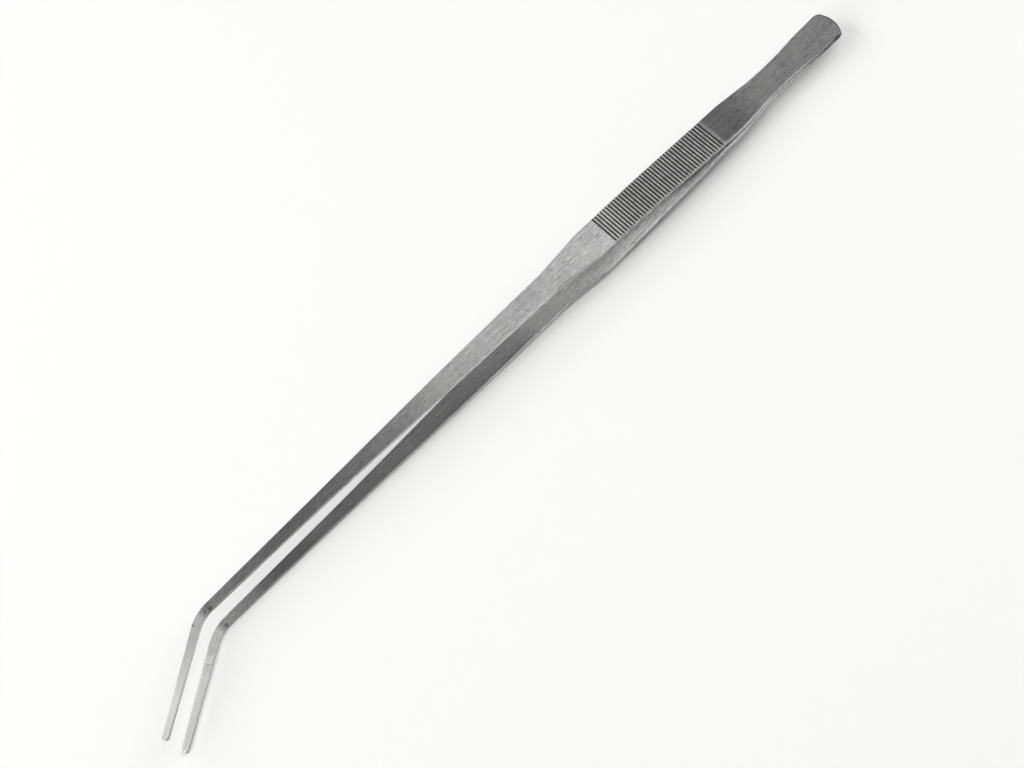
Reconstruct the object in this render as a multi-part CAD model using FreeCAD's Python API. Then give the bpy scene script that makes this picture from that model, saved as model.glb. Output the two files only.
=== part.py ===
import FreeCAD, Part
import math
import os

# Long two-armed planting tweezers, in millimetres.
# While the shape is drawn, X runs from the butt of the heel (0) to the tips, the tips bend towards +Y,
# and Z = 0 is the mid-plane between the two arms. At the end everything moves so that the origin
# lies under the centre of the whole part, on the surface that the lower arm lies on.

# Stations along the straight shank, measured from the butt.
waist_x = 41.0
shoulder_x = 71.0
grip_end_x = 168.0
neck_x = 193.0
belly_x = 255.0
slender_x = 345.0
knee_x = 430.0

# Half widths of an arm at those stations.
butt_half_width = 9.6
paddle_half_width = 9.4
waist_half_width = 7.3
shoulder_half_width = 10.4
grip_half_width = 9.85
neck_half_width = 7.0
belly_half_width = 6.2
slender_half_width = 4.0
knee_half_width = 2.65
tip_half_width = 1.8

# The plan outline's corner radii, and the places of the corners that have no station of their own.
butt_crown_radius = 18.0
butt_corner_x = 2.2
butt_corner_radius = 3.8
paddle_length = 18.0
paddle_radius = 40.0
waist_radius = 150.0
shoulder_radius = 10.0
grip_end_radius = 22.0
neck_radius = 70.0
belly_radius = 1200.0
slender_radius = 1200.0
bend_radius = 20.0
tip_radius = 1.55

# The bent tip: the angle that it turns towards +Y, and its length from the knee.
bend_angle = 38.0
tip_length = 63.0

# How the arms leave each other: they lie together up to the weld's end, sweep apart, keep a straight run
# around the middle of the weight, which the part lies on at rest, and turn parallel again.
weld_end_x = 50.0
root_end_x = 92.0
run_start_x = 170.0
run_end_x = 215.0
level_x = 390.0
root_angle = 4.85
run_angle = 1.2

# Thickness of an arm at the butt, the weld's end, the root's end, the end of the straight run and beyond.
butt_thickness = 1.3
weld_end_thickness = 1.8
root_thickness = 2.3
run_thickness = 1.95
level_thickness = 1.7

# An arm bends elastically near its root; this is the line where the bending is gathered.
flex_x = 72.0

# Grip grooves across the outer face of each arm.
first_groove_x = 84.6
groove_pitch = 1.784
groove_count = 41
groove_width = 1.1
groove_depth = 0.5

# Fine teeth across the inner face of each tip.
tooth_pitch = 1.02
tooth_count = 44
tooth_depth = 0.32
tooth_end_margin = 1.4

# Bevel along the outer edges of each arm.
edge_bevel = 0.25

# Spot welds that hold the two heels together.
weld_first_x = 12.0
weld_spacing = 12.0
weld_count = 3
weld_diameter = 5.0
weld_depth = 0.45

# Cutting tools reach past the material by this much.
reach = 5.0


def vec(x, y, z=0.0):
    return FreeCAD.Vector(x, y, z)


def rounded_outline(corners):
    """A closed flat face from corners (point, radius), each rounded by an arc of its radius."""
    count = len(corners)
    starts = []
    middles = []
    ends = []
    for i in range(count):
        point, radius = corners[i]
        before = corners[i - 1][0].sub(point).normalize()
        after = corners[(i + 1) % count][0].sub(point).normalize()
        half = before.getAngle(after) / 2.0
        along = radius / math.tan(half)
        bisector = before.add(after).normalize()
        centre = point + bisector * (radius / math.sin(half))
        starts.append(point + before * along)
        middles.append(centre - bisector * radius)
        ends.append(point + after * along)
    edges = []
    for i in range(count):
        edges.append(Part.Arc(starts[i], middles[i], ends[i]).toShape())
        edges.append(Part.LineSegment(ends[i], starts[(i + 1) % count]).toShape())
    return Part.Face(Part.Wire(edges))


def tip_frame():
    """The knee, the direction of the bent tip and the direction across it."""
    turn = math.radians(bend_angle)
    along = vec(math.cos(turn), math.sin(turn))
    across = vec(-math.sin(turn), math.cos(turn))
    return vec(knee_x, 0.0), along, across


def butt_apex():
    """The corner on the centreline whose rounding is the crowned end of the butt, with its crest at x = 0."""
    to_corner = vec(butt_crown_radius - butt_corner_x, butt_half_width)
    lean = math.atan2(to_corner.y, to_corner.x) - math.acos(butt_crown_radius / to_corner.Length)
    return vec(butt_crown_radius - butt_crown_radius / math.cos(lean), 0.0)


def plan_corners(side):
    """Corners of one long edge of an arm, from butt to tip. side is 1 for the +Y edge, -1 for the other."""
    shank = [
        (butt_corner_x, butt_half_width, butt_corner_radius),
        (paddle_length, paddle_half_width, paddle_radius),
        (waist_x, waist_half_width, waist_radius),
        (shoulder_x, shoulder_half_width, shoulder_radius),
        (grip_end_x, grip_half_width, grip_end_radius),
        (neck_x, neck_half_width, neck_radius),
        (belly_x, belly_half_width, belly_radius),
        (slender_x, slender_half_width, slender_radius),
    ]
    corners = [(vec(x, side * half_width), radius) for x, half_width, radius in shank]
    knee, along, across = tip_frame()
    half_turn = math.radians(bend_angle) / 2.0
    bisector = vec(-math.sin(half_turn), math.cos(half_turn))
    corners.append((knee + bisector * (side * knee_half_width / math.cos(half_turn)),
                    bend_radius - side * knee_half_width))
    corners.append((knee + along * tip_length + across * (side * tip_half_width), tip_radius))
    return corners


def plan_face():
    """The outline of an arm seen square to its broad face."""
    crown = [(butt_apex(), butt_crown_radius)]
    return rounded_outline(crown + plan_corners(-1) + plan_corners(1)[::-1])


def arc_rise(run, start_angle, end_angle):
    """Rise of an arc over a run, when it starts and ends at the given angles in degrees."""
    return run * math.tan(math.radians((start_angle + end_angle) / 2.0))


def inner_stations():
    """Points (x, z, angle) where the inner face of the upper arm changes its curve."""
    root_z = arc_rise(root_end_x - weld_end_x, 0.0, root_angle)
    run_start_z = root_z + arc_rise(run_start_x - root_end_x, root_angle, run_angle)
    run_end_z = run_start_z + arc_rise(run_end_x - run_start_x, run_angle, run_angle)
    level_z = run_end_z + arc_rise(level_x - run_end_x, run_angle, 0.0)
    return [
        (weld_end_x, 0.0, 0.0),
        (root_end_x, root_z, root_angle),
        (run_start_x, run_start_z, run_angle),
        (run_end_x, run_end_z, run_angle),
        (level_x, level_z, 0.0),
    ]


def arc_start(x, z, end):
    """The station (x, z, angle) at x and z, where an arc begins that reaches the end station at its angle."""
    chord_angle = math.degrees(math.atan2(end[1] - z, end[0] - x))
    return x, z, 2.0 * chord_angle - end[2]


def outer_stations():
    """Points (x, z, angle) of the upper arm's outer face, from its level end back, each curve smooth to the next."""
    inner_z = {x: z for x, z, angle in inner_stations()}
    level = (level_x, inner_z[level_x] + level_thickness, 0.0)
    run_end = arc_start(run_end_x, inner_z[run_end_x] + run_thickness, level)
    run_start_z = run_end[1] - arc_rise(run_end_x - run_start_x, run_end[2], run_end[2])
    run_start = (run_start_x, run_start_z, run_end[2])
    root_end = arc_start(root_end_x, inner_z[root_end_x] + root_thickness, run_start)
    weld_end = arc_start(weld_end_x, weld_end_thickness, root_end)
    return [weld_end, root_end, run_start, run_end, level]


def half_gap_at(x):
    """Distance from the mid-plane to the inner face in the first curve of an arm."""
    radius = (root_end_x - weld_end_x) / math.sin(math.radians(root_angle))
    return radius - math.sqrt(radius ** 2 - (x - weld_end_x) ** 2)


def arc_middle(first, last, first_angle, last_angle):
    """The middle of the arc between two points with those end angles."""
    chord = last.sub(first)
    half_turn = math.radians(last_angle - first_angle) / 2.0
    sagitta = chord.Length / 2.0 * math.tan(half_turn / 2.0)
    normal = vec(chord.z, 0.0, -chord.x).normalize()
    return (first + last) * 0.5 + normal * sagitta


def face_line(stations):
    """Edges through the stations of a broad face: an arc, or a line where the angle stays the same."""
    edges = []
    for first, last in zip(stations, stations[1:]):
        start = vec(first[0], 0.0, first[1])
        end = vec(last[0], 0.0, last[1])
        if first[2] == last[2]:
            edges.append(Part.LineSegment(start, end).toShape())
        else:
            edges.append(Part.Arc(start, arc_middle(start, end, first[2], last[2]), end).toShape())
    return edges


def side_face():
    """The side profile of the upper arm, in the XZ plane."""
    inner = inner_stations()
    outer = outer_stations()
    end_x = knee_x + tip_length + reach
    edges = face_line([(-reach, 0.0, 0.0)] + inner + [(end_x, inner[-1][1], 0.0)])
    edges += face_line(outer + [(end_x, outer[-1][1], 0.0)])
    butt_inner = vec(-reach, 0.0, 0.0)
    butt_outer = vec(-reach, 0.0, butt_thickness)
    weld_outer = vec(weld_end_x, 0.0, weld_end_thickness)
    end_inner = vec(end_x, 0.0, inner[-1][1])
    end_outer = vec(end_x, 0.0, outer[-1][1])
    edges.append(Part.LineSegment(end_inner, end_outer).toShape())
    edges.append(Part.LineSegment(weld_outer, butt_outer).toShape())
    edges.append(Part.LineSegment(butt_outer, butt_inner).toShape())
    return Part.Face(Part.Wire(Part.__sortEdges__(edges)))


def half_width_reach():
    """More than the widest half width anywhere on the part, for tools that cut right across."""
    return tip_length + shoulder_half_width + butt_half_width + reach


def arm_blank():
    """The upper arm with no grooves or teeth, with its outer edges bevelled."""
    plan = plan_face().extrude(vec(0.0, 0.0, tip_length))
    across = half_width_reach()
    side = side_face()
    side.translate(vec(0.0, -across, 0.0))
    blank = plan.common(side.extrude(vec(0.0, 2.0 * across, 0.0)))
    blank = blank.Solids[0]
    edges = []
    for face in blank.Faces:
        u0, u1, v0, v1 = face.ParameterRange
        if face.normalAt((u0 + u1) / 2.0, (v0 + v1) / 2.0).z > 0.9:
            edges += face.Edges
    outline = []
    for edge in edges:
        shared = [other for other in edges if other.isSame(edge)]
        if len(shared) == 1:
            outline.append(edge)
    return blank.makeChamfer(edge_bevel, outline)


def outer_height_at(blank, x):
    """Height of the outer face of an arm at a place along the shank."""
    line = Part.LineSegment(vec(x, 0.0, 0.0), vec(x, 0.0, tip_length)).toShape()
    return blank.common(line).BoundBox.ZMax


def grip_grooves(blank):
    """The V grooves across the outer face along the grip, square to the face's slope."""
    across = shoulder_half_width + reach
    cuts = []
    for i in range(groove_count):
        x = first_groove_x + i * groove_pitch
        z = outer_height_at(blank, x)
        slope = (outer_height_at(blank, x + groove_width) - z) / groove_width
        half = groove_width / 2.0
        rise = groove_depth
        corners = [
            vec(x, -across, z - groove_depth),
            vec(x + 2.0 * half, -across, z + rise + 2.0 * half * slope),
            vec(x - 2.0 * half, -across, z + rise - 2.0 * half * slope),
        ]
        triangle = Part.Face(Part.makePolygon(corners + corners[:1]))
        cuts.append(triangle.extrude(vec(0.0, 2.0 * across, 0.0)))
    return Part.makeCompound(cuts)


def tip_teeth():
    """The V grooves across the inner face of the tip, which leave its fine teeth."""
    level_z = inner_stations()[-1][1]
    knee, along, across = tip_frame()
    reach_across = tip_half_width + knee_half_width
    cuts = []
    for i in range(tooth_count):
        place = tip_length - tooth_end_margin - i * tooth_pitch
        start = knee + along * place - across * reach_across
        half = tooth_pitch * 0.42
        corners = [
            start + vec(0.0, 0.0, level_z + tooth_depth),
            start + along * (2.0 * half) + vec(0.0, 0.0, level_z - tooth_depth),
            start - along * (2.0 * half) + vec(0.0, 0.0, level_z - tooth_depth),
        ]
        triangle = Part.Face(Part.makePolygon(corners + corners[:1]))
        cuts.append(triangle.extrude(across * (2.0 * reach_across)))
    return Part.makeCompound(cuts)


def weld_nuggets():
    """The lens of fused metal at each spot weld, half in each heel."""
    nuggets = []
    for i in range(weld_count):
        x = weld_first_x + i * weld_spacing
        nuggets.append(Part.makeCylinder(weld_diameter / 2.0, 2.0 * weld_depth, vec(x, 0.0, -weld_depth)))
    return Part.makeCompound(nuggets)


def upper_arm():
    """The root and the blade of the upper arm, parted at the flexing line."""
    blank = arm_blank()
    arm = blank.cut(grip_grooves(blank))
    arm = arm.cut(tip_teeth())
    arm = arm.cut(weld_nuggets())
    across = half_width_reach()
    root_box = Part.makeBox(flex_x + reach, 2.0 * across, tip_length, vec(-reach, -across, -reach))
    root = arm.common(root_box)
    blade = arm.cut(root_box)
    return root, blade


def lowered(shape):
    """The mirror image of an upper piece, on the lower arm."""
    return shape.mirror(vec(0.0, 0.0, 0.0), vec(0.0, 0.0, 1.0))


def main():
    root, blade = upper_arm()
    nodes = {
        "upper_arm_root": root,
        "lower_arm_root": lowered(root),
        "upper_arm_blade": blade,
        "lower_arm_blade": lowered(blade),
        "weld_nuggets": weld_nuggets(),
    }
    outline = plan_face().optimalBoundingBox()
    lowest_z = -(inner_stations()[-1][1] + level_thickness)
    origin = vec(outline.Center.x, outline.Center.y, lowest_z)
    os.makedirs("parts", exist_ok=True)
    for name, shape in nodes.items():
        placed = shape.translated(origin * -1.0)
        placed.exportStep("parts/" + name + ".step")
        print(name, "solids", len(placed.Solids), "valid", placed.isValid(), "volume", round(placed.Volume, 2))
    gap_z = inner_stations()[-1][1]
    print("origin", origin, "half gap", gap_z, "half gap at flex", half_gap_at(flex_x))
    print("outline", outline.XLength, outline.YLength)


main()
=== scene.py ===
import math

import bpy
from mathutils import Matrix, Vector


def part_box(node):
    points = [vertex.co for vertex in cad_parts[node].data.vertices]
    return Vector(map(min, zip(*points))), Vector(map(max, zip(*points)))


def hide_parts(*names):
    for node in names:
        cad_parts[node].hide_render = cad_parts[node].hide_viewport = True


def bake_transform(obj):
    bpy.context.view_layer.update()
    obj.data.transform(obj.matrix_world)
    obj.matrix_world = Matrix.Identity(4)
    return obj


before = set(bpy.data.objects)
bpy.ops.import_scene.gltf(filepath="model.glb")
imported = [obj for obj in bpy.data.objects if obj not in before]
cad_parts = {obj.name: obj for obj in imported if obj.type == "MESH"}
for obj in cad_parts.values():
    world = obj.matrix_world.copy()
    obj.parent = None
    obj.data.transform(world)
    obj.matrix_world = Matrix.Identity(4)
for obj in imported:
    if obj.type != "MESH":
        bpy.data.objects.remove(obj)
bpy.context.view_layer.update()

mm = 0.001
scene = bpy.context.scene


# Colour and node helpers

def hexColour(code):
    # sRGB hex to the linear colour that the shaders take
    channels = [int(code[i:i + 2], 16) / 255 for i in (1, 3, 5)]
    linear = [c / 12.92 if c <= 0.04045 else ((c + 0.055) / 1.055) ** 2.4 for c in channels]
    return (*linear, 1.0)


def addNode(tree, kind, settings=None, inputs=None):
    # settings are the node's own properties; an input is a value, or an output socket to link from
    node = tree.nodes.new(kind)
    for name, value in (settings or {}).items():
        setattr(node, name, value)
    for name, value in (inputs or {}).items():
        if isinstance(value, bpy.types.NodeSocket):
            tree.links.new(value, node.inputs[name])
        else:
            node.inputs[name].default_value = value
    return node


# Where the drawing lies in the frame: the butt, the centreline and the plane between the arms

rootLow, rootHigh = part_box("upper_arm_root")
buttX = rootLow.x
centreY = (rootLow.y + rootHigh.y) / 2
midZ = rootLow.z

# One arm in millimetres, from the butt: the same driving sizes as the solids have

armShape = {
    "crownRadius": 18,       # of the butt's arched end
    "plan": [(2.2, 9.6, 3.8), (18, 9.4, 40), (41, 7.3, 150), (71, 10.4, 10), (168, 9.85, 22),
             (193, 7.0, 70), (255, 6.2, 1200), (345, 4.0, 1200)],   # x, half width, corner radius
    "kneeX": 430,
    "kneeHalfWidth": 2.65,
    "bendRadius": 20,
    "bendAngle": 38,
    "tipLength": 63,
    "tipHalfWidth": 1.8,
    "tipRadius": 1.55,
    # x, slope, thickness; the straight run from 170 to 215 takes its thickness from its far end
    "sweep": [(50, 0, 1.8), (92, 4.85, 2.3), (170, 1.2, 0), (215, 1.2, 1.95), (390, 0, 1.7)],
    "buttThickness": 1.3,
    "edgeRadius": 0.32,      # rounds the edges, which the solids bevel
    "edgeSteps": 3,
    "faceColumns": [0, 0.025, 0.12, 0.3, 0.5, 0.7, 0.88, 0.975, 1],
    "shankStep": 1.6,        # between cross-sections
    "cornerStep": 6,         # degrees between cross-sections round a corner
    "flex": (54, 96),        # x where the bending of the squeezed arm starts and ends
    "stripGap": 40,          # between the strips that the faces and walls are laid out in, side by side
}

# The cuts as brushing leaves them: rounded, the grooves wider and the teeth shallower than in the solids

gripRibs = {"first": 84.6, "pitch": 1.784, "count": 41, "width": 1.5, "depth": 0.5, "dirtAndShade": 1.25,
            "stepsPerPitch": 10}
tipTeeth = {"endMargin": 1.4, "pitch": 1.02, "count": 44, "width": 0.6, "depth": 0.24, "dirtAndShade": 0.35,
            "stepsPerPitch": 8}


def roundedProfile(corners):
    # lines and arcs through corners (x, y, radius), as (kind, start, end, centre, radius)
    pieces = []
    start = Vector(corners[0][:2])
    for before, (x, y, radius), after in zip(corners, corners[1:], corners[2:]):
        corner = Vector((x, y))
        inward = (Vector(before[:2]) - corner).normalized()
        onward = (Vector(after[:2]) - corner).normalized()
        half = inward.angle(onward) / 2
        reach = radius / math.tan(half)
        centre = corner + (inward + onward).normalized() * (radius / math.sin(half))
        pieces.append(("line", start, corner + inward * reach, None, 0))
        pieces.append(("arc", corner + inward * reach, corner + onward * reach, centre, radius))
        start = corner + onward * reach
    pieces.append(("line", start, Vector(corners[-1][:2]), None, 0))
    return pieces


def shankProfile():
    # one long edge of the straight part, from the crest of the arched butt to the knee
    x, y = armShape["plan"][0][:2]
    radius = armShape["crownRadius"]
    toCorner = Vector((radius - x, y))
    lean = math.atan2(toCorner.y, toCorner.x) - math.acos(radius / toCorner.length)
    apex = radius - radius / math.cos(lean)
    knee = (armShape["kneeX"], armShape["kneeHalfWidth"])
    pieces = roundedProfile([(x, -y), (apex, 0, radius), *armShape["plan"], knee])
    crown = ("arc", Vector((0, 0)), *pieces[1][2:])
    return [crown] + pieces[2:]


def tipProfile():
    length = armShape["tipLength"]
    return roundedProfile([(0, armShape["kneeHalfWidth"]),
                           (length, armShape["tipHalfWidth"], armShape["tipRadius"]), (length, 0)])


def profileAt(pieces, x):
    # height of the profile at x, and its outward normal
    for kind, start, end, centre, radius in pieces:
        if end.x - start.x < 1e-9 or x > end.x + 1e-9:
            continue
        if kind == "line":
            run = (end - start).normalized()
            return start.y + (x - start.x) * run.y / run.x, Vector((-run.y, run.x))
        bulge = 1 if (start.y + end.y) / 2 > centre.y else -1
        rise = math.sqrt(max(0, radius ** 2 - (x - centre.x) ** 2))
        return centre.y + bulge * rise, Vector((bulge * (x - centre.x), rise)) / radius
    return pieces[-1][1].y, Vector((0, 1))


def arcPlaces(piece):
    # places along x that go evenly round an arc, its end left out
    start, end, centre, radius = piece[1:]
    first = math.atan2(start.y - centre.y, start.x - centre.x)
    last = math.atan2(end.y - centre.y, end.x - centre.x)
    count = max(2, round(abs(math.degrees(last - first)) / armShape["cornerStep"]))
    return [centre.x + radius * math.cos(first + (last - first) * i / count) for i in range(count)]


def evenPlaces(low, high, step):
    count = max(1, round((high - low) / step))
    return [low + (high - low) * i / count for i in range(count)]


def arcHeight(x0, z0, angle0, x1, angle1, x):
    # height of the arc that leaves (x0, z0) at angle0 and has angle1 at x1
    turn = math.sin(angle1) - math.sin(angle0)
    if abs(turn) < 1e-9:
        return z0 + (x - x0) * math.tan(angle0)
    radius = (x1 - x0) / turn
    return z0 + radius * (math.cos(angle0) - math.cos(math.asin(math.sin(angle0) + (x - x0) / radius)))


def sweepArcs():
    # inner and outer arcs of the side profile, each outer arc running smoothly into the next
    stations = armShape["sweep"]
    inner = []
    innerZ = [0]
    for near, far in zip(stations, stations[1:]):
        inner.append((near[0], innerZ[-1], math.radians(near[1]), far[0], math.radians(far[1])))
        innerZ.append(arcHeight(*inner[-1], far[0]))
    outer = []
    slope = 0
    z1 = innerZ[-1] + stations[-1][2]
    for i in range(len(inner) - 1, -1, -1):
        x0, x1 = inner[i][0], inner[i][3]
        startSlope = slope
        z0 = z1 - (x1 - x0) * math.tan(slope)
        if stations[i][1] != stations[i + 1][1]:
            z0 = innerZ[i] + stations[i][2]
            startSlope = 2 * math.atan2(z1 - z0, x1 - x0) - slope
        outer.insert(0, (x0, z0, startSlope, x1, slope))
        slope, z1 = startSlope, z0
    return inner, outer


innerArcs, outerArcs = sweepArcs()


def heightAt(arcs, x):
    for arc in arcs:
        if x <= arc[3]:
            return arcHeight(*arc, x)
    return arcHeight(*arcs[-1], arcs[-1][3])


def innerHeight(x):
    return heightAt(innerArcs, max(x, innerArcs[0][0]))


def outerHeight(x):
    weldX, weldZ = outerArcs[0][:2]
    if x > weldX:
        return heightAt(outerArcs, x)
    return armShape["buttThickness"] + (weldZ - armShape["buttThickness"]) * max(x, 0) / weldX


def armStations():
    # the cross-sections from butt to tip: distance along the arm, centre, heading, half width, edge normal
    knee = armShape["kneeX"]
    turn = math.radians(armShape["bendAngle"])
    radius = armShape["bendRadius"]
    tangent = radius * math.tan(turn / 2)
    shankEnd = knee - tangent
    bendEnd = shankEnd + radius * turn
    whole = bendEnd + armShape["tipLength"] - tangent
    shank = shankProfile()
    tip = tipProfile()

    def place(along):
        if along <= shankEnd:
            return (along, Vector((along, 0)), 0, *profileAt(shank, along))
        if along >= bendEnd:
            run = along - bendEnd + tangent
            centre = Vector((knee, 0)) + Vector((math.cos(turn), math.sin(turn))) * run
            return (along, centre, turn, *profileAt(tip, run))
        heading = (along - shankEnd) / radius
        before = profileAt(shank, shankEnd)[0]
        after, normal = profileAt(tip, tangent)
        centre = Vector((shankEnd, radius)) + Vector((math.sin(heading), -math.cos(heading))) * radius
        return along, centre, heading, before + (after - before) * heading / turn, normal

    ribsFrom = gripRibs["first"] - gripRibs["pitch"]
    ribsTo = gripRibs["first"] + gripRibs["count"] * gripRibs["pitch"]
    teethFrom = whole - tipTeeth["endMargin"] - tipTeeth["count"] * tipTeeth["pitch"]
    tipArc = tip[1]
    tipShift = whole - armShape["tipLength"]
    places = arcPlaces(shank[0])[1:] + arcPlaces(shank[2])
    places += evenPlaces(shank[2][2].x, ribsFrom, armShape["shankStep"])
    places += evenPlaces(ribsFrom, ribsTo, gripRibs["pitch"] / gripRibs["stepsPerPitch"])
    places += evenPlaces(ribsTo, shankEnd, armShape["shankStep"])
    places += evenPlaces(shankEnd, bendEnd, armShape["shankStep"] / 3)
    places += evenPlaces(bendEnd, teethFrom, armShape["shankStep"])
    places += evenPlaces(teethFrom, tipShift + tipArc[1].x, tipTeeth["pitch"] / tipTeeth["stepsPerPitch"])
    places += [tipShift + x for x in arcPlaces(tipArc)] + [whole]
    return [place(along) for along in places], whole


def sectionRing(station, side):
    # one closed cross-section: outer face, right edge, inner face, left edge
    # each point has its place, its depths under the outer and inner faces, its distance across the strip
    # of the surface that it lies on and its distance from the outline
    distance, centre, heading, halfWidth, normal = station
    forward = Vector((math.cos(heading), math.sin(heading)))
    across = Vector((-math.sin(heading), math.cos(heading)))
    edge = armShape["edgeRadius"]
    steps = armShape["edgeSteps"]
    columns = armShape["faceColumns"]
    outer = outerHeight(centre.x)
    inner = innerHeight(centre.x)
    wall = outer - inner - 2 * edge
    arcs = [math.pi / 2 * i / steps for i in range(steps + 1)]
    rounded = [(edge * (1 - math.sin(a)), outer - edge * (1 - math.cos(a)), edge * a) for a in arcs[1:]]
    rounded += [(edge * (1 - math.sin(a)), inner + edge * (1 - math.cos(a)), edge * (math.pi - a) + wall)
                for a in arcs[:0:-1]]
    rim = {}
    out = {}
    for sign in (-1, 1):
        rim[sign] = centre + across * (sign * halfWidth)
        out[sign] = forward * normal.x + across * (sign * normal.y)
    left = rim[-1] - out[-1] * edge
    right = rim[1] - out[1] * edge
    ring = []
    for c in columns:
        point = left.lerp(right, c)
        ring.append((point, outer, (point - centre).dot(across)))
    ring += [(rim[1] - out[1] * inset, z, run) for inset, z, run in rounded]
    for c in columns:
        point = right.lerp(left, c)
        ring.append((point, inner, (centre - point).dot(across)))
    ring += [(rim[-1] - out[-1] * inset, z, run) for inset, z, run in rounded[::-1]]
    points = []
    for p, z, run in ring:
        place = Vector((buttX + p.x * mm, centreY + p.y * mm, midZ + side * z * mm))
        fromRim = min(distance, max(0, (halfWidth - abs((p - centre).dot(across))) * normal.y))
        points.append((place, outer - z, z - inner, run, fromRim))
    return points


def buildArm(name, side):
    # side is 1 for the upper arm and -1 for the lower
    stations = armStations()[0]
    rings = [sectionRing(station, side) for station in stations]
    size = len(rings[0])
    last = len(armShape["faceColumns"]) - 1
    edgePoints = 2 * armShape["edgeSteps"]
    wallLength = armShape["edgeRadius"] * math.pi
    gap = armShape["stripGap"]
    verts = [point[0] for ring in rings for point in ring]
    faces = []
    maps = []

    def stripMap(ring, j, k):
        # V of the two points of a strip
        runJ, runK = rings[ring][j][3], rings[ring][k][3]
        if j < last:
            return runJ, runK
        if j < last + edgePoints + 1:
            thickness = wallLength + rings[ring][j][1] + rings[ring][j][2]
            return gap + (0 if j == last else runJ), gap + (thickness if k == last + edgePoints + 1 else runK)
        if j < 2 * last + edgePoints + 1:
            return 2 * gap + runJ, 2 * gap + runK
        thickness = wallLength + rings[ring][j][1] + rings[ring][j][2]
        return (3 * gap + (thickness if j == 2 * last + edgePoints + 1 else runJ),
                3 * gap + (0 if k == 0 else runK))

    for i in range(len(stations) - 1):
        u0, u1 = stations[i][0], stations[i + 1][0]
        for j in range(size):
            k = (j + 1) % size
            near = stripMap(i, j, k)
            far = stripMap(i + 1, j, k)
            faces.append((i * size + j, i * size + k, (i + 1) * size + k, (i + 1) * size + j))
            maps.append(((u0, near[0]), (u0, near[1]), (u1, far[1]), (u1, far[0])))
    # the narrow end faces are closed level by level, from the outer face to the inner
    for i, flip in ((0, True), (len(stations) - 1, False)):
        levels = [list(range(last + 1))]
        rightSide = list(range(last + 1, last + 1 + edgePoints))
        leftSide = list(range(size - 1, size - 1 - edgePoints, -1))
        levels += [[a, b] for a, b in zip(leftSide, rightSide)]
        levels.append(list(range(last + 1 + edgePoints, size - edgePoints))[::-1])
        for upper, lower in zip(levels, levels[1:]):
            loop = upper + lower[::-1]
            if flip:
                loop = loop[::-1]
            faces.append(tuple(i * size + j for j in loop))
            maps.append(tuple((stations[i][0] + rings[i][j][1], 4 * gap + rings[i][j][3]) for j in loop))
    if side > 0:
        faces = [face[::-1] for face in faces]
        maps = [mapped[::-1] for mapped in maps]
    mesh = bpy.data.meshes.new(name)
    mesh.from_pydata(verts, [], faces)
    measures = {"alongArm": [station[0] * mm for station in stations for j in range(size)]}
    for attributeName, place in (("belowOuter", 1), ("aboveInner", 2), ("fromRim", 4)):
        measures[attributeName] = [point[place] * mm for ring in rings for point in ring]
    for attributeName, values in measures.items():
        mesh.attributes.new(attributeName, "FLOAT", "POINT").data.foreach_set("value", values)
    # the brushing runs along U
    brushMap = mesh.uv_layers.new(name="brushMap")
    flat = [value * mm for mapped in maps for uv in mapped for value in uv]
    brushMap.data.foreach_set("uv", flat)
    mesh.polygons.foreach_set("use_smooth", [True] * len(mesh.polygons))
    mesh.update()
    arm = bpy.data.objects.new(name, mesh)
    scene.collection.objects.link(arm)
    return arm


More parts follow.
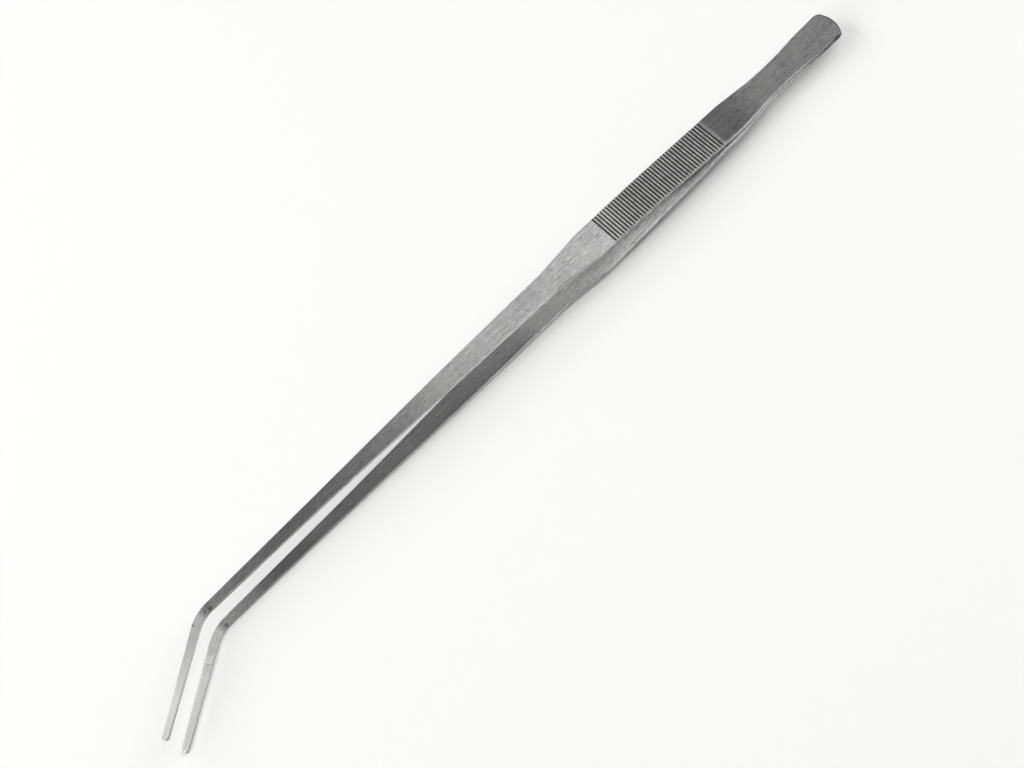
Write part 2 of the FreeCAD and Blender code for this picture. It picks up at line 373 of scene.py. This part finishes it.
def crossCutTree():
    # lowers the vertices under a row of rounded cuts that cross the arm
    tree = bpy.data.node_groups.new("crossCuts", "GeometryNodeTree")
    sockets = [("Geometry", "Geometry"), ("Along", "String"), ("Cover", "String"), ("First Cut", "Float"),
               ("Cut Pitch", "Float"), ("Cut Count", "Int"), ("Cut Width", "Float"), ("Cut Depth", "Float"),
               ("DirtAndShade", "Float"), ("Direction", "Vector"), ("Finish", "Material")]
    for socketName, kind in sockets:
        tree.interface.new_socket(socketName, in_out="INPUT", socket_type="NodeSocket" + kind)
    tree.interface.new_socket("Geometry", in_out="OUTPUT", socket_type="NodeSocketGeometry")
    given = addNode(tree, "NodeGroupInput").outputs

    def maths(operation, a, b=0.0):
        return addNode(tree, "ShaderNodeMath", {"operation": operation}, {0: a, 1: b}).outputs[0]

    def stored(attribute):
        return addNode(tree, "GeometryNodeInputNamedAttribute", {"data_type": "FLOAT"},
                       {"Name": attribute}).outputs["Attribute"]

    alongArm = stored(given["Along"])
    steps = maths("DIVIDE", maths("SUBTRACT", alongArm, given["First Cut"]), given["Cut Pitch"])
    lastCut = maths("SUBTRACT", given["Cut Count"], 1.0)
    nearest = maths("MINIMUM", maths("MAXIMUM", maths("ROUND", steps), 0.0), lastCut)
    centre = maths("ADD", given["First Cut"], maths("MULTIPLY", nearest, given["Cut Pitch"]))
    offCentre = maths("ABSOLUTE", maths("SUBTRACT", alongArm, centre))
    halfWidth = maths("MULTIPLY", given["Cut Width"], 0.5)
    section = addNode(tree, "ShaderNodeMapRange", {"interpolation_type": "SMOOTHSTEP"}, {
        "Value": offCentre, "From Min": 0.0, "From Max": halfWidth,
        "To Min": given["Cut Depth"], "To Max": 0.0}).outputs["Result"]
    lower = maths("MAXIMUM", maths("SUBTRACT", section, stored(given["Cover"])), 0.0)
    offset = addNode(tree, "ShaderNodeVectorMath", {"operation": "SCALE"},
                     {0: given["Direction"], "Scale": lower}).outputs["Vector"]
    moved = addNode(tree, "GeometryNodeSetPosition", {}, {"Geometry": given["Geometry"], "Offset": offset})
    # how dark the cut is painted, darker the deeper: dirt and painted shade
    dirtAndShade = maths("MULTIPLY", maths("DIVIDE", lower, given["Cut Depth"]), given["DirtAndShade"])
    dirtAndShade = maths("MAXIMUM", stored("cutDirtAndShade"), maths("MINIMUM", dirtAndShade, 1.0))
    marked = addNode(tree, "GeometryNodeStoreNamedAttribute", {"data_type": "FLOAT", "domain": "POINT"},
                     {"Geometry": moved.outputs[0], "Name": "cutDirtAndShade", "Value": dirtAndShade})
    real = addNode(tree, "GeometryNodeRealizeInstances", {}, {"Geometry": marked.outputs[0]})
    finished = addNode(tree, "GeometryNodeSetMaterial", {}, {
        "Geometry": real.outputs[0], "Material": given["Finish"]})
    addNode(tree, "NodeGroupOutput", {}, {"Geometry": finished.outputs[0]})
    return tree


def addCuts(arm, tree, values):
    modifier = arm.modifiers.new("crossCuts", "NODES")
    modifier.node_group = tree
    identifiers = {item.name: item.identifier for item in tree.interface.items_tree
                   if item.in_out == "INPUT"}
    for name, value in values.items():
        modifier[identifiers[name]] = value


def applyModifiers(piece):
    depsgraph = bpy.context.evaluated_depsgraph_get()
    plain = bpy.data.meshes.new_from_object(piece.evaluated_get(depsgraph), preserve_all_data_layers=True,
                                            depsgraph=depsgraph)
    piece.modifiers.clear()
    piece.data = plain


# Materials

steelLook = {
    "pale": "#E9E9E8",
    "deep": "#888888",
    "dull": "#353534",       # dirt and oxide that stay in the cuts and the seam; in the cuts also painted shade, darker the deeper the cut
    "roughness": 0.36,
    "paleRougher": 0.1,      # pale streaks scatter more than deep ones
    "dullRougher": 0.2,
    "anisotropy": 1.0,
    "limit": 0.95,           # steel never gives back all the light
    # mm across and along; the real scratches are about 0.05 mm wide, drawn coarser to show
    "grain": (0.45, 3.6),
    "scratch": (0.6, 22.0),
    "mottleSize": 1.1,
    "patchSize": 14.0,
    "markShares": (0.6, 0.4, 0.35, 0.35),   # of grain, scratches, mottling and patches
    "noiseSpan": (0.28, 0.72),   # the part of the noise's range that the brushing uses
    "scratchHeight": 0.006,
    "scratchStrength": 0.6,
    # how strong the marks are along the arm (mm, factor): the tips are finer
    "markDepth": [(0, 1.0), (170, 1.0), (220, 0.85), (430, 0.75), (445, 0.5)],
    # lightness along the arm (mm, factor), set against the photograph's grey levels: the steel's own finish
    # together with painted light, painted shade on the inner faces between the arms and a painted reflection
    # on the walls; factors of 1 give plain steel
    "outerToneAndPaintedLight": [(0, 1.0), (50, 1.0), (72, 0.54), (81, 0.54), (86, 0.86), (138, 0.88), (152, 1.18),
                  (162, 0.95), (280, 0.98), (330, 1.18), (380, 0.95), (415, 1.22), (440, 0.75), (474, 1.03),
                  (490, 0.9)],
    "innerToneAndPaintedLight": [(0, 0.8), (104, 0.95), (120, 1.42), (150, 1.35), (200, 0.92), (228, 0.58), (262, 0.6),
                  (300, 0.92), (350, 0.95), (390, 0.75), (422, 1.3), (440, 0.76), (453, 1.36), (490, 1.28)],
    "wallToneAndPaintedReflection": [(0, 0.45), (14, 0.5), (34, 1.2), (78, 1.2), (86, 0.95), (160, 0.95), (185, 1.1),
                 (225, 1.4), (300, 1.4), (380, 1.2)],
    "faceEdge": (0.02, 0.3),   # mm under a face where the wall's finish starts and is whole
    "wallRougher": 0.15,
    "edgeHighlight": 0.5,         # painted highlight along the rounded edges
    # painted shade along the rounded outline of the butt, colour only: mm along and mm wide where it starts
    # to fade and ends, factor
    "buttEdgeShade": {"along": (6, 10), "wide": (0.27, 0.9), "factor": 0.45},
    # painted highlight in front of the first groove, a pale line in colour only: x, half width, extra
    # lightness
    "firstGrooveHighlight": (83.1, 0.6, 0.7),
    # the line where the heels meet: mm along and mm high where it starts to fade and ends, strength
    "seamDirt": {"along": (52, 68), "high": (0.11, 0.22), "strength": 0.9},
    # the small dark marks at the bend, colour only: x, y, arm and radius, and how dark they are
    "bendMarks": [(426.4, 0.8, 1, 1.3), (423.2, 1.4, 1, 2.0), (435.2, 1.7, 1, 1.3), (425.0, 1.9, -1, 1.8)],
    "bendMarkStrength": 0.6,
}


def brushedStainless(name, look):
    # stainless steel strip brushed lengthwise with a belt: streaky grey, its shine drawn out across the arm,
    # with painted light, shade and reflection along it
    material = bpy.data.materials.new(name)
    material.use_nodes = True
    tree = material.node_tree
    tree.nodes.clear()

    def maths(operation, a, b=0.0, c=0.0):
        return addNode(tree, "ShaderNodeMath", {"operation": operation}, {0: a, 1: b, 2: c}).outputs[0]

    def stored(attribute):
        return addNode(tree, "ShaderNodeAttribute", {"attribute_name": attribute}).outputs["Fac"]

    def ramp(value, span, start, end=0.0):
        # from start to end as value goes through span (mm)
        return addNode(tree, "ShaderNodeMapRange", {"interpolation_type": "SMOOTHSTEP"}, {
            "Value": value, "From Min": span[0] * mm, "From Max": span[1] * mm,
            "To Min": start, "To Max": end}).outputs["Result"]

    uv = addNode(tree, "ShaderNodeUVMap", {"uv_map": "brushMap"}).outputs["UV"]
    position = addNode(tree, "ShaderNodeTexCoord").outputs["Object"]
    along = stored("alongArm")

    def brushed(size, detail):
        # noise drawn out along the arm
        stretched = addNode(tree, "ShaderNodeMapping", {}, {
            "Vector": uv, "Scale": (1 / (size[1] * mm), 1 / (size[0] * mm), 1.0)}).outputs["Vector"]
        noise = addNode(tree, "ShaderNodeTexNoise", {"noise_dimensions": "2D"}, {
            "Vector": stretched, "Scale": 1.0, "Detail": detail, "Roughness": 0.6}).outputs["Fac"]
        return addNode(tree, "ShaderNodeMapRange", {}, {
            "Value": noise, "From Min": look["noiseSpan"][0],
            "From Max": look["noiseSpan"][1]}).outputs["Result"]

    def mottled(size):
        return addNode(tree, "ShaderNodeTexNoise", {}, {
            "Vector": position, "Scale": 1 / (size * mm), "Detail": 3.0}).outputs["Fac"]

    def toneCurve(points):
        # factor along the arm, through points (mm, factor); the curve's square holds 500 mm and a factor of 2
        node = addNode(tree, "ShaderNodeFloatCurve", {}, {"Value": maths("MULTIPLY", along, 2.0)})
        curve = node.mapping.curves[0]
        while len(curve.points) < len(points):
            curve.points.new(0.5, 0.5)
        for point, (x, factor) in zip(curve.points, points):
            point.location = (x * 2 * mm, factor / 2)
            point.handle_type = "VECTOR"
        node.mapping.update()
        return maths("MULTIPLY", node.outputs["Value"], 2.0)

    grain = brushed(look["grain"], 2.0)
    scratches = brushed(look["scratch"], 2.0)
    shares = look["markShares"]
    marks = maths("MULTIPLY_ADD", scratches, shares[1], -sum(shares) / 2)   # the sum's middle is 0
    marks = maths("MULTIPLY_ADD", grain, shares[0], marks)
    marks = maths("MULTIPLY_ADD", mottled(look["mottleSize"]), shares[2], marks)
    marks = maths("MULTIPLY_ADD", mottled(look["patchSize"]), shares[3], marks)
    shade = maths("MULTIPLY_ADD", marks, toneCurve(look["markDepth"]), 0.5)
    onOuter = ramp(stored("belowOuter"), look["faceEdge"], 1.0)
    onInner = ramp(stored("aboveInner"), look["faceEdge"], 1.0)
    faces = maths("ADD", onOuter, onInner)
    onWall = maths("SUBTRACT", 1.0, faces)
    # painted highlight along the rounded edges, strongest halfway between wall and face, where their product
    # is a quarter
    rim = maths("MULTIPLY", maths("MULTIPLY", onWall, faces), 4 * look["edgeHighlight"])
    # the steel's own finish together with painted light, painted shade and a painted reflection along the
    # arm, face by face
    toneAndPaintedLight = maths("MULTIPLY_ADD", onOuter, toneCurve(look["outerToneAndPaintedLight"]),
                 maths("MULTIPLY_ADD", onInner, toneCurve(look["innerToneAndPaintedLight"]),
                       maths("MULTIPLY_ADD", onWall, toneCurve(look["wallToneAndPaintedReflection"]), rim)))
    # painted highlight: a pale line just in front of the first groove
    highlightX, highlightReach, highlightExtra = look["firstGrooveHighlight"]
    grooveHighlight = ramp(maths("ABSOLUTE", maths("SUBTRACT", along, highlightX * mm)), (0, highlightReach), highlightExtra)
    toneAndPaintedLight = maths("MULTIPLY_ADD", grooveHighlight, onOuter, toneAndPaintedLight)
    # painted shade along the rounded outline of the butt
    butt = look["buttEdgeShade"]
    buttShadeMask = maths("MULTIPLY", ramp(along, butt["along"], 1.0), ramp(stored("fromRim"), butt["wide"], 1.0))
    toneAndPaintedLight = maths("MULTIPLY", toneAndPaintedLight, maths("MULTIPLY_ADD", buttShadeMask, butt["factor"] - 1, 1.0))
    dirt = look["seamDirt"]
    seam = maths("MULTIPLY", ramp(along, dirt["along"], 1.0),
                 ramp(stored("aboveInner"), dirt["high"], dirt["strength"]))
    bendDirt = 0.0
    for x, y, side, radius in look["bendMarks"]:
        height = outerHeight(x) if side > 0 else innerHeight(x)
        centre = (buttX + x * mm, centreY + y * mm, midZ + side * height * mm)
        apart = addNode(tree, "ShaderNodeVectorMath", {"operation": "DISTANCE"}, {0: position, 1: centre})
        mark = ramp(apart.outputs["Value"], (0.1 * radius, radius), look["bendMarkStrength"])
        bendDirt = maths("MAXIMUM", mark, bendDirt)
    # darkening: dirt and painted shade in the cuts, dirt in the seam, and the dark marks at the bend
    dull = maths("MAXIMUM", maths("MAXIMUM", stored("cutDirtAndShade"), seam), bendDirt)
    steel = addNode(tree, "ShaderNodeMix", {"data_type": "RGBA", "clamp_factor": True}, {"Factor": shade})
    steel.inputs["A"].default_value = hexColour(look["deep"])
    steel.inputs["B"].default_value = hexColour(look["pale"])
    # the grain's colour scaled by the steel's finish and by the painted light and shade
    steelWithPaintedLight = addNode(tree, "ShaderNodeVectorMath", {"operation": "SCALE"}, {
        0: steel.outputs["Result"], "Scale": toneAndPaintedLight}).outputs["Vector"]
    steelWithPaintedLight = addNode(tree, "ShaderNodeVectorMath", {"operation": "MINIMUM"}, {
        0: steelWithPaintedLight, 1: (look["limit"],) * 3}).outputs["Vector"]
    colour = addNode(tree, "ShaderNodeMix", {"data_type": "RGBA"}, {"Factor": dull, "A": steelWithPaintedLight})
    colour.inputs["B"].default_value = hexColour(look["dull"])
    roughness = maths("MULTIPLY_ADD", dull, look["dullRougher"], look["roughness"] - look["paleRougher"] / 2)
    roughness = maths("MULTIPLY_ADD", shade, look["paleRougher"], roughness)
    roughness = maths("MULTIPLY_ADD", onWall, look["wallRougher"], roughness)
    bump = addNode(tree, "ShaderNodeBump", {}, {
        "Height": scratches, "Strength": look["scratchStrength"],
        "Distance": look["scratchHeight"] * mm}).outputs["Normal"]
    tangent = addNode(tree, "ShaderNodeTangent", {
        "direction_type": "UV_MAP", "uv_map": "brushMap"}).outputs["Tangent"]
    # the quarter turn draws the shine out across the brushing
    shader = addNode(tree, "ShaderNodeBsdfPrincipled", {}, {
        "Base Color": colour.outputs["Result"], "Metallic": 1.0, "Roughness": roughness,
        "Anisotropic": look["anisotropy"], "Anisotropic Rotation": 0.25, "Tangent": tangent, "Normal": bump})
    addNode(tree, "ShaderNodeOutputMaterial", {}, {"Surface": shader.outputs[0]})
    return material


# The arms

def makeArms():
    steel = brushedStainless("brushedStainlessSteel", steelLook)
    cuts = crossCutTree()
    whole = armStations()[1]
    firstTooth = whole - tipTeeth["endMargin"] - (tipTeeth["count"] - 1) * tipTeeth["pitch"]
    for word, side in (("upper", 1), ("lower", -1)):
        arm = buildArm(word + "Arm", side)
        for sizes, first, cover, inward in ((gripRibs, gripRibs["first"], "belowOuter", -side),
                                            (tipTeeth, firstTooth, "aboveInner", side)):
            addCuts(arm, cuts, {
                "Along": "alongArm", "Cover": cover, "First Cut": first * mm,
                "Cut Pitch": sizes["pitch"] * mm, "Cut Count": sizes["count"],
                "Cut Width": sizes["width"] * mm, "Cut Depth": sizes["depth"] * mm, "DirtAndShade": sizes["dirtAndShade"],
                "Direction": (0.0, 0.0, float(inward)), "Finish": steel})
        applyModifiers(arm)
        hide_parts(word + "_arm_root", word + "_arm_blade")
        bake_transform(arm)
        print(arm.name, "vertices", len(arm.data.vertices), "faces", len(arm.data.polygons))


makeArms()


# The spot welds, sealed between the heels

weldLook = {"pale": "#9A9B9C", "deep": "#6F7173", "roughness": 0.45, "patchSize": 1.2}


def fusedSteel(name, look):
    # weld nugget: the same steel melted and frozen again, dull and mottled
    material = bpy.data.materials.new(name)
    material.use_nodes = True
    tree = material.node_tree
    tree.nodes.clear()
    position = addNode(tree, "ShaderNodeTexCoord").outputs["Object"]
    mottle = addNode(tree, "ShaderNodeTexNoise", {}, {
        "Vector": position, "Scale": 1 / (look["patchSize"] * mm), "Detail": 4.0}).outputs["Fac"]
    colour = addNode(tree, "ShaderNodeMix", {"data_type": "RGBA"}, {"Factor": mottle})
    colour.inputs["A"].default_value = hexColour(look["deep"])
    colour.inputs["B"].default_value = hexColour(look["pale"])
    shader = addNode(tree, "ShaderNodeBsdfPrincipled", {}, {
        "Base Color": colour.outputs["Result"], "Metallic": 1.0, "Roughness": look["roughness"]})
    addNode(tree, "ShaderNodeOutputMaterial", {}, {"Surface": shader.outputs[0]})
    return material


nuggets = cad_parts["weld_nuggets"]
nuggets.data.materials.clear()
nuggets.data.materials.append(fusedSteel("fusedWeldSteel", weldLook))
print("welds done")


# Floor, lamps and sky

studio = {
    "floorColour": "#F7F7F6",
    "floorRoughness": 0.9,
    "floorSize": 12.0,
    # keeps the far floor as pale as the near: from and to (m from the middle), strength
    "farGlow": (0.7, 2.5, 0.62),
    "skyLow": 0.9,           # strength of the sky at the horizon
    "skyHigh": (0.38, 0.17),   # and overhead, left and right
    "skySides": (-0.3, 0.05),   # where left turns into right
    "skyBlend": (0.05, 0.4),   # and low into high
    "lamps": [
        # name, place, size across and along, watts
        ("stripLeft", (-0.30, -0.885, 1.2), (0.12, 1.5), 0.66),
        ("stripMiddle", (-0.08, -1.1, 0.95), (0.16, 1.8), 1.0),
        ("stripRight", (0.69, -0.885, 1.2), (0.48, 1.5), 8.5),
        ("stripNear", (-0.26, 0.62, 1.36), (0.18, 0.5), 2.2),
        ("softLeft", (-1.6, 0.3, 1.4), (1.6, 1.6), 20.0),
        ("softRight", (1.8, 0.3, 1.4), (1.6, 1.6), 17.0),
    ],
}


def makeStudio():
    half = studio["floorSize"] / 2
    mesh = bpy.data.meshes.new("floor")
    corners = [(-half, -half, 0), (half, -half, 0), (half, half, 0), (-half, half, 0)]
    mesh.from_pydata(corners, [], [(0, 1, 2, 3)])
    floor = bpy.data.objects.new("floor", mesh)
    scene.collection.objects.link(floor)
    material = bpy.data.materials.new("paleFloor")   # matt white paint
    material.use_nodes = True
    shader = material.node_tree.nodes["Principled BSDF"]
    shader.inputs["Base Color"].default_value = hexColour(studio["floorColour"])
    shader.inputs["Roughness"].default_value = studio["floorRoughness"]
    tree = material.node_tree
    position = addNode(tree, "ShaderNodeTexCoord").outputs["Object"]
    apart = addNode(tree, "ShaderNodeVectorMath", {"operation": "LENGTH"}, {0: position}).outputs["Value"]
    start, end, strength = studio["farGlow"]
    glow = addNode(tree, "ShaderNodeMapRange", {"interpolation_type": "SMOOTHSTEP"}, {
        "Value": apart, "From Min": start, "From Max": end,
        "To Min": 0.0, "To Max": strength}).outputs["Result"]
    # only the camera, metal and glass see the glow
    rays = addNode(tree, "ShaderNodeLightPath").outputs
    seen = rays["Is Camera Ray"]
    for ray in ("Is Glossy Ray", "Is Transmission Ray"):
        seen = addNode(tree, "ShaderNodeMath", {"operation": "MAXIMUM"}, {0: rays[ray], 1: seen}).outputs[0]
    glow = addNode(tree, "ShaderNodeMath", {"operation": "MULTIPLY"}, {0: glow, 1: seen}).outputs[0]
    shader.inputs["Emission Color"].default_value = (1.0, 1.0, 1.0, 1.0)
    tree.links.new(glow, shader.inputs["Emission Strength"])
    mesh.materials.append(material)
    for name, place, size, watts in studio["lamps"]:
        lamp = bpy.data.lights.new(name, "AREA")
        lamp.shape = "RECTANGLE"
        lamp.size, lamp.size_y = size
        lamp.energy = watts
        holder = bpy.data.objects.new(name, lamp)
        holder.location = place
        towards = -Vector(place).normalized()
        sideways = Vector((1, 0, 0)) - towards * towards.x
        sideways.normalize()
        upwards = sideways.cross(towards)
        holder.rotation_euler = Matrix((sideways, upwards, -towards)).transposed().to_euler()
        holder.visible_camera = False
        scene.collection.objects.link(holder)
    world = bpy.data.worlds.new("sky")
    world.use_nodes = True
    tree = world.node_tree
    direction = addNode(tree, "ShaderNodeSeparateXYZ", {}, {
        0: addNode(tree, "ShaderNodeTexCoord").outputs["Generated"]}).outputs
    overhead = addNode(tree, "ShaderNodeMapRange", {"interpolation_type": "SMOOTHSTEP"}, {
        "Value": direction["X"], "From Min": studio["skySides"][0], "From Max": studio["skySides"][1],
        "To Min": studio["skyHigh"][0], "To Max": studio["skyHigh"][1]}).outputs["Result"]
    strength = addNode(tree, "ShaderNodeMapRange", {"interpolation_type": "SMOOTHSTEP"}, {
        "Value": direction["Z"], "From Min": studio["skyBlend"][0], "From Max": studio["skyBlend"][1],
        "To Min": studio["skyLow"], "To Max": overhead}).outputs["Result"]
    background = tree.nodes["Background"]
    background.inputs["Color"].default_value = (1.0, 1.0, 1.0, 1.0)
    tree.links.new(strength, background.inputs["Strength"])
    scene.world = world


makeStudio()
print("studio done")


# Camera at the photograph's viewing angle

photoView = {
    "azimuth": 175.31,
    "elevation": 54.49,
    "roll": -40.23,
    "distance": 1.1332,
    "target": (0.0019, 0.0086, 0.01038),
    "lens": 81.63,
    "sensor": 36.0,
}


def makeCamera():
    camera = bpy.data.objects.new("camera", bpy.data.cameras.new("camera"))
    camera.data.lens = photoView["lens"]
    camera.data.sensor_width = photoView["sensor"]
    camera.data.clip_start = 0.01
    azimuth = math.radians(photoView["azimuth"])
    elevation = math.radians(photoView["elevation"])
    back = Vector((math.sin(azimuth) * math.cos(elevation), -math.cos(azimuth) * math.cos(elevation),
                   math.sin(elevation)))
    camera.location = Vector(photoView["target"]) + back * photoView["distance"]
    turn = (-back).to_track_quat("-Z", "Y").to_matrix()
    right = turn.col[0]
    up = turn.col[1]
    roll = math.radians(photoView["roll"])
    newRight = right * math.cos(roll) + up * math.sin(roll)
    newUp = up * math.cos(roll) - right * math.sin(roll)
    for i in range(3):
        turn[i][0], turn[i][1], turn[i][2] = newRight[i], newUp[i], back[i]
    camera.rotation_euler = turn.to_euler()
    scene.collection.objects.link(camera)
    scene.camera = camera


makeCamera()
print("camera done")
scene.view_settings.view_transform = "Standard"
